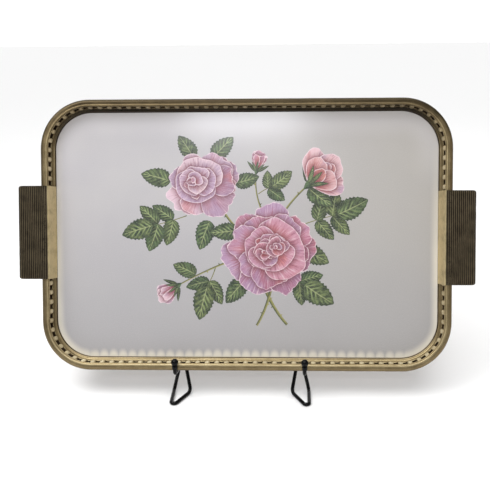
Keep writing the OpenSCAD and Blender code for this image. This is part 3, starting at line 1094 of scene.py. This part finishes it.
def whorl(bloom, turns, reach, spread, colours):
    """Broad petals side by side round the flower's base."""
    shapes = []
    for turn in turns:
        shade = max(0.0, cos(radians(turn - SHADED))) * 0.55
        tint = toward(vary(colours[0], colours[1], 0.9), PLUM, shade)
        deep = toward(vary(colours[2], colours[0], 0.5), PLUM, shade)
        shapes.append(petal(bloom, (0, 0), turn + draw.uniform(-9, 9), reach * draw.uniform(0.88, 1.07),
                            spread * draw.uniform(0.88, 1.16), tint, deep, point=draw.uniform(-0.12, 0.08)))
    return shapes


def leaf(x, y, turn, length, width=0.62, bend=0.0, teeth=9):
    """A leaf from its base at x, y: toothed edges, the widest part near the base and a drawn-out tip."""
    own = Bloom(0, x, y, turn)
    greatest = 0.42   # of the curve below

    def half_width(v):
        return width * length / 2 * max(v, 0.0) ** 0.5 * max(1 - v, 0.0) ** 0.8 / greatest

    def at(u, v):
        return own.on_face((length * v, u * half_width(v) + bend * length * v * v))

    def place(p):
        q = own.from_face(p)
        v = max(0.0, min(1.0, q.x / length))
        return (q.y - bend * length * v * v) / max(half_width(v), 0.3), v

    notch, tooth = (0.93, 1.08) if teeth > 4 else (1.0, 1.0)
    side = []
    for i in range(teeth):
        side += [((i + 0.22) / teeth, notch), ((i + 0.80) / teeth, tooth)]
    outline = [at(0, 0)] + [at(-w, v) for v, w in side] + [at(0, 1)] + [at(w, v) for v, w in reversed(side)]
    samples = [at(u, v / 10) for u in (-0.55, 0, 0.55) for v in range(1, 10)]
    tint, deep = vary(MID_GREEN, OLIVE, 0.35), vary(DARK_GREEN, MOSS, 0.4)
    return Shape(LEAF, 0, outline, samples, place, tint, deep)


def stem(points, thick, thin, thorns=0):
    """A stalk along a smooth curve through three control points, with its thorns."""
    a, b, c = (Vector(point) for point in points)
    steps = 14
    line = [a * (1 - t) ** 2 + b * 2 * t * (1 - t) + c * t * t for t in (i / steps for i in range(steps + 1))]
    sides = []
    for i, point in enumerate(line):
        ahead = (line[min(i + 1, steps)] - line[max(i - 1, 0)]).normalized()
        sides.append(ahead.orthogonal() * mix(thick, thin, i / steps) / 2)

    def place(p):
        i = min(range(steps + 1), key=lambda k: (line[k] - Vector(p)).length_squared)
        return (Vector(p) - line[i]).dot(sides[i]) / sides[i].length_squared, i / steps

    outline = [p - s for p, s in zip(line, sides)] + [p + s for p, s in reversed(list(zip(line, sides)))]
    shapes = [Shape(STEM, 0, outline, [], place, OLIVE, MOSS)]
    for k in range(thorns):
        i = round(mix(2, steps - 2, (k + 0.5) / thorns))
        flank = 1 if k % 2 else -1
        root, out = line[i], sides[i].normalized() * flank
        along = (line[i + 1] - line[i - 1]).normalized()
        foot = [root - along * 1.3, root + along * 1.3, root + out * (sides[i].length + 2.1) + along * 0.5]
        shapes.append(Shape(STEM, 0, foot if flank < 0 else foot[::-1], [], place, OLIVE, MOSS))
    return shapes


def sprig(x, y, turn, size, leaflets):
    """A compound leaf: a thin stalk with leaflets in pairs and one at its end."""
    bend = 0.05
    way = unit(turn)
    root = Vector((x, y))
    end = root + way * size * (0.9 if leaflets > 3 else 0.55)
    shapes = stem([root, (root + end) / 2 + way.orthogonal() * 1.5, end], 1.1, 0.8)
    pairs = (leaflets - 1) // 2
    for k in range(pairs):
        at = mix(root, end, (k + 0.9) / (pairs + 0.25))
        for side in (-1, 1):
            shapes.append(leaf(*at, turn + side * draw.uniform(52, 68), size * draw.uniform(0.62, 0.74),
                               bend=-side * bend, width=draw.uniform(0.55, 0.66)))
    shapes.append(leaf(*end, turn + draw.uniform(-8, 8), size * draw.uniform(0.82, 0.95), bend=bend,
                       width=draw.uniform(0.56, 0.66)))
    return shapes


def bud(number, x, y, turn, size, open_by, colours):
    """A bud seen from its side, its base at x, y. open_by spreads its petals, in degrees."""
    flower = Bloom(number, x, y, turn)
    sepal = {"width": 0.26, "teeth": 3}
    shapes = [leaf(*flower.on_face((0, side * size * 0.10)), turn + side * (38 + open_by * 0.4), size * 0.62,
                   bend=side * 0.12, **sepal) for side in (-1, 1)]
    swell = size * 0.2
    for k, share in ((-1, 0.98), (1, 1.0), (0, 1.06)):
        shapes.append(petal(flower, (0, 0), k * open_by, size * share, 26 + open_by * 0.35,
                            vary(colours[0], colours[1], 0.8), vary(colours[2], WINE, 0.4), point=0.03))
    if open_by > 20:
        shapes += heart(flower, (size * 0.62, 0), size * 0.36, 5, colours, 150)
        for k in (-1, 1):
            shapes.append(petal(flower, (-size * 0.02, 0), k * (open_by * 0.75), size * 0.80, 36,
                                vary(colours[0], colours[1], 0.6), colours[2], point=0.06))
        shapes.append(petal(flower, (0, 0), draw.uniform(-8, 8), size * 0.56, 34,
                            colours[0], colours[2], point=0.05))
    else:
        for k in (-1, 1):
            shapes.append(petal(flower, (0, 0), k * 11, size * 0.84, 20, vary(colours[0], colours[1], 0.5),
                                colours[2], point=0.08))
    shapes.append(petal(flower, (-swell, 0), 0, swell * 1.9, 34, MID_GREEN, DARK_GREEN))
    shapes[-1].kind = STEM
    for side in (-1, 0.1, 1):
        shapes.append(leaf(*flower.on_face((size * 0.02, side * size * 0.05)), turn + side * 24, size * 0.5,
                           bend=side * 0.16, **sepal))
    for shape in shapes:
        shape.bloom = number
    return shapes


def rose_spray():
    """All the shapes of the print, from the undermost to the uppermost."""
    cool = (PALE_ROSE, LILAC, PINK)
    warm = (PINK, LILAC, SALMON)
    shapes = []
    for points, thick, thin, thorns in (([(16, -44), (26, -78), (46, -100)], 4.0, 3.0, 4),
                                        ([(30, -48), (26, -78), (12, -101)], 3.4, 2.6, 3),
                                        ([(34, 12), (48, 38), (72, 58)], 2.6, 1.8, 2),
                                        ([(22, 20), (8, 44), (12, 72)], 2.0, 1.3, 2),
                                        ([(-10, -26), (-44, -38), (-76, -56)], 2.2, 1.4, 3),
                                        ([(-28, 32), (-18, 14), (-2, 0)], 2.4, 2.8, 2)):
        shapes += stem(points, thick, thin, thorns)
    for x, y, turn, size, leaflets in ((-66, 22, 196, 44, 5), (-34, -36, 246, 42, 3), (64, 12, 16, 44, 5),
                                       (46, -42, 326, 42, 3), (14, 46, 28, 32, 3)):
        shapes += sprig(x, y, turn, size, leaflets)
    for x, y, turn, length, bend in (
            (-58, 86, 118, 30, 0.1), (-36, 86, 52, 32, -0.1), (-84, 60, 158, 34, 0.12),
            (-40, 16, 244, 34, 0.1), (-12, 58, 12, 28, 0.06), (-8, 6, 190, 32, -0.08),
            (70, 52, 318, 32, 0.1), (0, -50, 222, 34, 0.12), (62, -16, 340, 34, -0.1),
            (-56, -44, 150, 28, 0.1)):
        shapes.append(leaf(x, y, turn, length, bend=bend))
    shapes += bud(4, -76, -56, 214, 26, 12, cool)
    shapes += bud(5, 12, 71, 78, 22, 9, warm)
    shapes += bud(3, 70, 56, 40, 40, 34, (srgb(216, 146, 136), PALE_ROSE, SALMON))
    high = Bloom(1, -48, 57, 12, 0.92)
    shapes += whorl(high, (-162, -124, 14, -26, -72), 44, 42, cool)
    shapes += whorl(high, (150, 98, 50, -8), 37, 46, cool)
    shapes += heart(high, (-4, 4), 30, 9, (PALE_ROSE, LILAC, srgb(196, 128, 138)), 70, (-7, 4))
    low = Bloom(2, 26, -16, -8, 0.96)
    shapes += whorl(low, (92, 148, 202, 256, 310, 4, 48), 54, 38, warm)
    shapes += whorl(low, (120, 176, 236, 290, 346, 66), 42, 46, warm)
    folds = (srgb(208, 144, 156), LILAC, srgb(182, 92, 92))
    shapes += heart(low, (2, 0), 36, 7, folds, 20)
    shapes += heart(low, (-5, -5), 20, 6, folds, 240)
    shapes += heart(low, (8, 4), 15, 5, folds, 60)
    return shapes


EASED = 0.15   # how far the face's edge is eased
NEAR = 8.0     # shapes further off than this cast no shade
FAR = 20.0


def inside(points, outline):
    """Which of the points lie inside a closed outline."""
    a, b = outline, np.roll(outline, -1, axis=0)
    x, y = points[:, :1], points[:, 1:]
    crosses = (a[:, 1] > y) != (b[:, 1] > y)
    rise = np.where(b[:, 1] == a[:, 1], 1e-9, b[:, 1] - a[:, 1])
    to_left = x < (b[:, 0] - a[:, 0]) * (y - a[:, 1]) / rise + a[:, 0]
    return ((crosses & to_left).sum(axis=1) % 2).astype(bool)


def distance(points, outline):
    """How far each point is from a closed outline."""
    a, span = outline, np.roll(outline, -1, axis=0) - outline
    offset = points[:, None, :] - a[None]
    share = np.clip((offset * span).sum(-1) / np.maximum((span * span).sum(-1), 1e-9), 0, 1)
    return np.linalg.norm(offset - share[..., None] * span, axis=-1).min(axis=1)


def plate_outline(shrink):
    """The face's rounded outline, counter-clockwise, drawn in by shrink."""
    radius = CORNER_R - FACE_IN - shrink
    middle_x, middle_y = face_high.x - shrink - radius, face_high.y - shrink - radius
    points = []
    for corner, (sx, sy) in enumerate(((1, 1), (-1, 1), (-1, -1), (1, -1))):
        turns = [90 * (corner + i / 16) for i in range(17)]
        points += [(sx * middle_x + x, sy * middle_y + y) for x, y in arc(radius, radius, turns)]
    return points


def open_samples(shapes):
    """The points inside each shape that no later shape covers."""
    kept = []
    for number, shape in enumerate(shapes):
        if shape.samples:
            points = np.array(shape.samples)
            hidden = np.zeros(len(points), bool)
            for above in shapes[number + 1:]:
                hidden |= inside(points, above.outline)
            kept += [Vector(point) for point in points[~hidden]]
    return kept


def cover_distance(spots, shape, later):
    """How far each spot is from the nearest shape that lies over its own: a petal, or one of its flower."""
    low, high = spots.min(0) - NEAR, spots.max(0) + NEAR
    cover = np.full(len(spots), FAR)
    for above in later:
        close = (above.outline.min(0) < high).all() and (above.outline.max(0) > low).all()
        if close and (above.bloom == shape.bloom or above.kind == PETAL):
            cover = np.minimum(cover, distance(spots, above.outline))
    return cover


def write_shape(bm, loops, shape, later):
    """Keeps at every corner of a shape's area its place in the shape, its distances and its two colours."""
    spots = np.array([loop.vert.co.xy for loop in loops])
    edge = distance(spots, shape.outline)
    cover = cover_distance(spots, shape, later)
    places, colours = bm.loops.layers.uv, bm.loops.layers.float_color
    paint, depth, tint, deep = places["paint"], places["depth"], colours["tint"], colours["deep"]
    for loop, near_edge, near_cover in zip(loops, edge, cover):
        loop[paint].uv = shape.place(loop.vert.co.xy)
        loop[depth].uv = (near_edge, near_cover)
        loop[tint] = shape.tint
        loop[deep] = shape.deep


def close_plate(bm, ring):
    """The plate's eased edge, its sides and its back, below the ring of vertices round its face."""
    for n in (-EASED, face_low.z):
        lower = [bm.verts.new((x, y, n)) for x, y in plate_outline(0.0)]
        for i in range(len(ring)):
            j = (i + 1) % len(ring)
            bm.faces.new((ring[j], ring[i], lower[i], lower[j]))
        ring = lower
    bm.faces.new(ring[::-1])


def make_printed_face():
    """The laminate. Its face is cut along every shape's outline, and each area is the topmost shape's."""
    shapes = rose_spray()
    border = plate_outline(EASED)
    verts, outlines = [], []
    for outline in [border] + [shape.outline for shape in shapes]:
        outlines.append(list(range(len(verts), len(verts) + len(outline))))
        verts += [Vector(point) for point in outline]
    verts += open_samples(shapes)
    points, _, triangles, sources, _, owners = delaunay_2d_cdt(verts, [], outlines, 1, 1e-4)
    bm = bmesh.new()
    for name in ("flow", "paint", "depth"):
        bm.loops.layers.uv.new(name)
    for name in ("tint", "deep"):
        bm.loops.layers.float_color.new(name)
    kind = bm.faces.layers.float.new("kind")
    made = [bm.verts.new((p.x, p.y, 0)) for p in points]
    owned = {}
    for triangle, owner in zip(triangles, owners):
        face = bm.faces.new([made[i] for i in triangle])
        top = max(owner) - 1
        face[kind] = PAPER if top < 0 else shapes[top].kind
        owned.setdefault(top, []).append(face)
    for number, faces in owned.items():
        loops = [loop for face in faces for loop in face.loops]
        if number >= 0:
            write_shape(bm, loops, shapes[number], shapes[number + 1:])
            continue
        for layer in bm.loops.layers.float_color.values():
            for loop in loops:
                loop[layer] = (1, 1, 1, 1)
    first = {source: i for i, group in enumerate(sources) for source in group if source < len(border)}
    close_plate(bm, [made[first[i]] for i in range(len(border))])
    flow = bm.loops.layers.uv["flow"]
    for face in bm.faces:
        for loop in face.loops:
            loop[flow].uv = loop.vert.co.xy * MM
    laminate = printed_laminate()
    return make_piece("printed_face", bm, "tray", laminate, ["face_laminate"], TRAY, angle=30)


class Print(Paint):
    """The laminate's nodes: where a point is on the face and in its shape, and the look of each kind."""

    def __init__(self):
        super().__init__("printed_laminate", Roughness=0.42, Coat_Weight=1.0, Coat_Roughness=0.17,
                         Coat_IOR=1.5)
        self.face = self.flow()
        self.u, self.v = self.split(self.node("UVMap", uv_map="paint"))
        self.edge, self.cover = self.split(self.node("UVMap", uv_map="depth"))
        self.tint, self.deep = self.attribute("tint", 0), self.attribute("deep", 0)
        self.fine = self.noise(self.face, 900.0, 3.0)
        self.mottle = self.noise(self.face, 160.0, 3.0)

    def petals(self):
        """Veined from base to rim, mottled lilac and salmon, dark under the next petal, with a pale edge."""
        seed = self.times(self.attribute("tint", 3), 60)
        fan = self.node("CombineXYZ", self.times(self.u, 9.0), self.times(self.v, 0.9), seed)
        streaks = self.noise(fan, 2.6, 5.0, 0.72)
        patches = self.noise(self.node("CombineXYZ", self.u, self.v, seed), 1.3, 2.0)
        feather = self.times(self.remap(streaks, 0.52, 0.66), self.remap(self.v, 0.35, 0.95, 0, 0.75))
        broken = self.remap(self.noise(self.face, 210.0, 2.0), 0.38, 0.60, 0.25, 0.85)
        petals = self.blend(self.remap(self.swayed(self.v, streaks, 0.9), 0.35, 1.0), self.deep, self.tint)
        petals = self.coats(petals, (self.remap(patches, 0.52, 0.72, 0, 0.6), LILAC),
                            (self.remap(patches, 0.46, 0.28, 0, 0.5), SALMON), (feather, PALE_ROSE),
                            (self.remap(streaks, 0.47, 0.36, 0, 0.55), PLUM))
        petals = self.blend(self.remap(self.cover, 7.0, 0.0, 0, 0.45), petals, WINE, "MULTIPLY")
        return self.coats(petals, (self.remap(self.cover, 2.2, 0.0, 0, 0.5), WINE),
                          (self.times(self.remap(self.edge, 1.15, 0.35), broken), srgb(236, 216, 222)))

    def leaves(self):
        """Ribbed on a slant from the midrib, glinting between the ribs, with a pale midrib and dark edges."""
        side = self.size(self.u)
        slant = self.math("SUBTRACT", self.times(self.v, 6.5), self.times(side, 2.0))
        rib = self.size(self.math("SUBTRACT", self.math("FRACT", slant), 0.5))
        glints = self.remap(self.noise(self.face, 75.0, 2.0), 0.40, 0.60, 0.15, 1.0)
        shine = self.times(glints, self.remap(side, 0.95, 0.25, 0, 0.9))
        leaves = self.blend(self.remap(self.mottle, 0.38, 0.68), self.deep, self.tint)
        leaves = self.coats(leaves, (self.times(self.remap(rib, 0.26, 0.08), shine), srgb(142, 158, 104)),
                            (self.remap(rib, 0.36, 0.5, 0, 0.75), DARK_GREEN),
                            (self.remap(side, 0.08, 0.02, 0, 0.7), srgb(168, 176, 124)),
                            (self.remap(self.edge, 1.0, 0.3, 0, 0.55), DARK_GREEN))
        return self.blend(self.remap(self.cover, 5.0, 0.0, 0, 0.5), leaves, DARK_GREEN, "MULTIPLY")

    def stems(self):
        """Lit from one side, with dark mottling."""
        stems = self.blend(self.remap(self.u, -0.7, 0.6), self.deep, self.tint)
        return self.coats(stems, (self.remap(self.mottle, 0.5, 0.7, 0, 0.5), DARK_GREEN))

    def inset(self, across, height):
        """How far inside the face's rounded outline a point is, in metres."""
        radius = (CORNER_R - FACE_IN) * MM
        parts = [self.math("SUBTRACT", self.size(lane), half * MM - radius)
                 for lane, half in ((across, face_high.x), (height, face_high.y))]
        squares = [self.math("POWER", self.math("MAXIMUM", part, 0.0), 2.0) for part in parts]
        reach = self.math("SQRT", self.math("ADD", *squares))
        flat = self.math("MINIMUM", self.math("MAXIMUM", *parts), 0.0)
        return self.math("SUBTRACT", radius, self.math("ADD", reach, flat))

    def bead_reflection_scallops(self, across, height):
        """How far the painted reflection of the gallery's beads draws back from between them, along the
        bottom.
        """
        beads = self.math("COSINE", self.times(across, pi * BEADS_ACROSS / (STRAIGHT * MM)))
        rounds = self.math("POWER", self.size(beads), 0.6)
        straight = self.remap(self.size(across), 0.190, 0.155)
        bottom = self.times(self.remap(height, -0.110, -0.122), straight)
        return self.times(self.math("SUBTRACT", 0.8, rounds), bottom)

    def paper(self):
        """Grey-white, with painted shade that makes it darker and warmer to the right and darker below, a
        painted reflection of the gilt rim round the edge, and painted light along the top.
        """
        across, height = self.split(self.face)
        inset = self.inset(across, height)
        clouds = self.noise(self.face, 11.0, 3.0)
        # The pale band round the edge is a painted reflection of the gilt rim, scalloped by the gallery's
        # beads and strongest along the bottom.
        reach = self.swayed(inset, clouds, 0.006)
        reach = self.math("MULTIPLY_ADD", self.bead_reflection_scallops(across, height), 0.0055, reach)
        wear_and_painted_light = self.times(self.remap(reach, 0.0095, 0.0), self.remap(height, -0.10, 0.10, 1.0, 0.3))
        # Painted light along the top, where the rim's shadow falls.
        painted_top_light = self.times(self.remap(inset, 0.034, 0.0), self.remap(height, 0.04, 0.12, 0, 0.5))
        specks = self.remap(self.noise(self.face, 230.0, 1.0), 0.80, 0.82, 0, 0.5)
        paper = self.blend(self.remap(clouds, 0.35, 0.65), srgb(184, 181, 184), srgb(189, 186, 187))
        # Painted shade: darker and warmer to the right, darker below; then the painted reflection round the
        # edge and the painted light along the top.
        return self.coats(paper, (self.remap(self.fine, 0.3, 0.7, 0, 0.10), srgb(172, 168, 174)),
                          (self.remap(across, -0.06, 0.20, 0, 0.55), srgb(176, 171, 158)),
                          (self.remap(height, 0.08, -0.13, 0, 0.7), srgb(166, 164, 165)),
                          (wear_and_painted_light, srgb(232, 226, 212)), (painted_top_light, srgb(224, 220, 222)),
                          (specks, srgb(150, 140, 130)))


def printed_laminate():
    """A glossy laminate over the painted print."""
    paint = Print()
    kind = paint.attribute("kind")
    colour = paint.paper()
    for number, layer in ((PETAL, paint.petals()), (LEAF, paint.leaves()), (STEM, paint.stems())):
        colour = paint.blend(paint.math("COMPARE", kind, float(number), 0.25), colour, layer)
    dots = paint.remap(paint.fine, 0.4, 0.75, 0, 0.10)
    paint.set(Base_Color=paint.blend(dots, colour, srgb(238, 232, 236)))
    return paint.material


make_printed_face()
frame["nodes"]["core_board"].data.materials.clear()
frame["nodes"]["core_board"].data.materials.append(HARDBOARD)

for half_name, half_sign in (("upper", 1), ("lower", -1)):
    make_moulding(half_name + "_rim", half_sign)
    make_gallery(half_name + "_gallery", half_sign)
for side_name, side_sign in (("left", -1), ("right", 1)):
    make_handle(side_name + "_handle", side_sign)
    make_rivets(side_name + "_handle_rivets")
    make_front_rod(side_name + "_front_rod", side_sign)
    make_ball(side_name + "_ball_tip")
    make_lug(side_name + "_lug")
make_brace()
make_front_welds()
make_barrel()
make_pin()
make_pin_cap("left_pin_cap", -1)
make_pin_cap("right_pin_cap", 1)
make_rear_leg()


# ---- Floor, lights and camera ----

def make_floor():
    """A pale floor, wide enough to run out of sight."""
    bm = bmesh.new()
    bmesh.ops.create_grid(bm, x_segments=28, y_segments=28, size=14.0)
    mesh = bpy.data.meshes.new("floor")
    bm.to_mesh(mesh)
    bm.free()
    made = add_object("floor", mesh)
    paint = Paint("floor_paper", Roughness=0.8)
    grain = paint.noise(paint.object_place(), 500.0, 3.0)
    paint.set(Base_Color=paint.blend(grain, (0.92, 0.92, 0.92), (0.94, 0.94, 0.94)))
    mesh.materials.append(paint.material)


def hang_light(name, kind, power, aim, place=(0, 0, 0)):
    light = bpy.data.lights.new(name, kind)
    light.energy = power
    lamp = add_object(name, light)
    lamp.location = place
    lamp.rotation_euler = Vector(aim).to_track_quat("-Z", "Y").to_euler()
    return light


def make_light(name, place, target, size, power, colour=(1, 1, 1)):
    """A soft box that shines from a place to a target."""
    light = hang_light(name, "AREA", power, Vector(target) - Vector(place), place)
    light.shape = "RECTANGLE"
    light.size, light.size_y = size
    light.color = colour


def make_sun():
    """An even, very soft light over the whole floor."""
    hang_light("sky", "SUN", 1.6, (0.06, 0.26, -1)).angle = radians(50)


def make_world():
    """Soft surroundings: a white backdrop beyond the object, a dimmer room on the camera's side."""
    world = bpy.data.worlds.new("studio")
    bpy.context.scene.world = world
    nodes = Nodes(world, "BACKGROUND")
    beyond, up = nodes.split(nodes.node("TexCoord"), (1, 2))
    room = nodes.ramp(up, [(0.0, (0.10, 0.10, 0.10)), (0.8, (0.28, 0.28, 0.28))])
    backdrop = nodes.ramp(beyond, [(0.05, (0, 0, 0)), (0.6, (1, 1, 1))])
    nodes.set(Color=nodes.blend(backdrop, room, (1.15, 1.15, 1.15)))


def make_camera():
    """The camera looks almost squarely at the tray's face, from a little right of its middle."""
    focal_share = 1.2   # focal length as a share of the sensor's width
    away = Vector((38.8, 13.2, 668.5))
    turn = Matrix.Rotation(radians(-0.06), 4, "Z") @ Matrix.Rotation(radians(1.65), 4, "Y")
    turn = turn @ Matrix.Rotation(radians(-1.78), 4, "X")
    data = bpy.data.cameras.new("camera")
    data.sensor_width = 36
    data.lens = focal_share * data.sensor_width
    data.shift_x = -0.0366
    data.shift_y = -0.0158
    data.clip_start = 0.01
    camera = add_object("camera", data)
    axes = Matrix((ACROSS, UP, OUT)).transposed().to_4x4()
    camera.matrix_world = Matrix.Translation(TRAY @ away) @ axes @ turn
    bpy.context.scene.camera = camera
    bpy.context.scene.view_settings.view_transform = "Standard"


make_floor()
make_world()
make_sun()
make_light("overhead", (-0.60, -0.38, 0.98), (-0.12, 0, 0.28), (0.6, 0.5), 5.0)
make_light("window", (-0.09, -1.31, 1.04), (0, 0, 0.25), (0.42, 0.18), 2.7, (0.93, 0.95, 1.0))
make_light("warm_fill", (1.5, -1.0, 0.7), (0, 0, 0.17), (0.8, 0.8), 1.5, (1.0, 0.88, 0.68))
make_light("back", (0.3, 1.2, 1.3), (0, 0, 0.15), (1.2, 0.8), 2)
make_camera()
